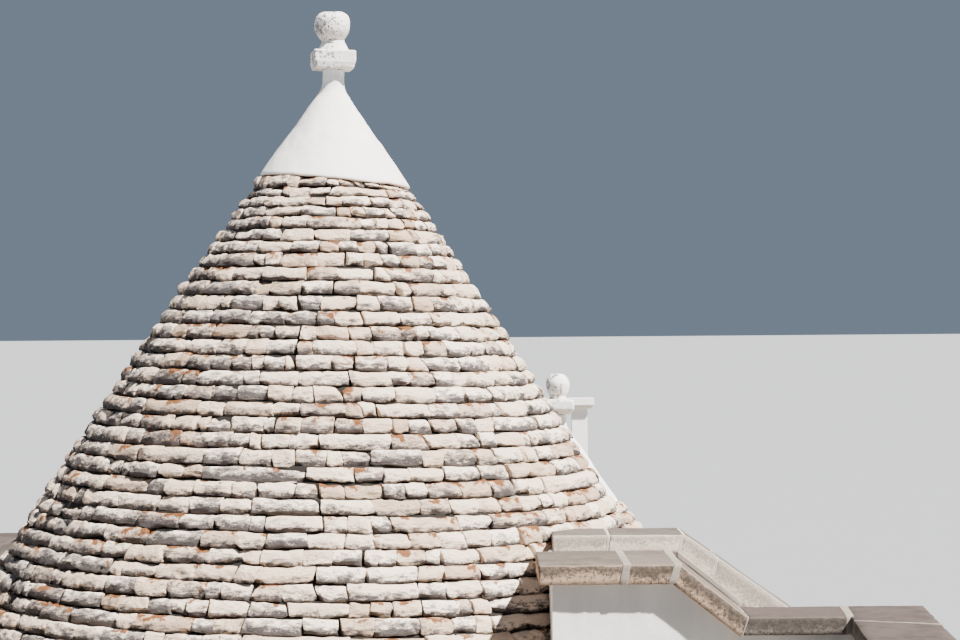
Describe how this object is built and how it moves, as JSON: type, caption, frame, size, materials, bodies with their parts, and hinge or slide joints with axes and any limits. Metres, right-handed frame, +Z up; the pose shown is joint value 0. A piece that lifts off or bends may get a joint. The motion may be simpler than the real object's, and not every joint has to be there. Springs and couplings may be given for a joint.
{
  "type": "trullo house",
  "caption": "Hollow dry-stone cone roof with lime cap and ball pinnacle on a white walled block, with stepped parapet, coping, arched doorway and small domed alcove.",
  "frame": {"origin": "on the ground, on the axis of the large cone, at the underside of the floor slab", "axes": "+Z up along the cone's axis, -Y out of the entrance, +X towards the wing and the stepped wall"},
  "size_m": [7.715, 11.003, 7.4013],
  "materials": {
    "roof_stone": "rough dry-laid limestone flags, cream with grey weathering and ochre patches",
    "lime_cap": "smooth limewashed mortar",
    "pinnacle_stone": "carved limestone, limewashed, pitted",
    "limewashed_wall": "matt limewash on plastered masonry",
    "coping_stone": "sawn limestone, weathered grey with lichen on the faces",
    "dome_stone": "dressed limestone",
    "floor_stone": "worn limestone paving"
  },
  "bodies": {
    "root": {"floor_slab": "floor_stone", "front_wall_left": "limewashed_wall", "front_wall_right": "limewashed_wall", "front_wall_over_door": "limewashed_wall", "left_wall": "limewashed_wall", "right_wall": "limewashed_wall", "back_wall_left": "limewashed_wall", "back_wall_right": "limewashed_wall", "back_wall_over_passage": "limewashed_wall", "wing_wall": "limewashed_wall", "left_parapet": "limewashed_wall", "back_parapet": "limewashed_wall", "front_parapet": "limewashed_wall", "return_parapet": "limewashed_wall", "stepped_wall_front": "limewashed_wall", "stepped_wall_rear": "limewashed_wall", "annex_front_wall": "limewashed_wall", "annex_side_walls": "limewashed_wall", "annex_back_wall": "limewashed_wall", "chimney_shaft": "limewashed_wall", "chimney_slab": "limewashed_wall", "corner_slabs": "dome_stone", "keystones": "dome_stone", "cone_segment_1": "roof_stone", "cone_segment_2": "roof_stone", "cone_segment_3": "roof_stone", "cone_segment_4": "roof_stone", "cone_segment_5": "roof_stone", "cone_segment_6": "roof_stone", "cone_segment_7": "roof_stone", "cone_segment_8": "roof_stone", "rear_cone": "roof_stone", "cap": "lime_cap", "rear_cap": "lime_cap", "pinnacle_block": "pinnacle_stone", "pinnacle_ball": "pinnacle_stone", "rear_pinnacle_block": "pinnacle_stone", "rear_pinnacle_ball": "pinnacle_stone", "stepped_coping_front": "coping_stone", "stepped_coping_rear": "coping_stone", "return_coping": "coping_stone", "front_coping": "coping_stone", "left_coping": "coping_stone", "back_coping": "coping_stone", "right_edge_course": "coping_stone"}
  },
  "joints": []
}
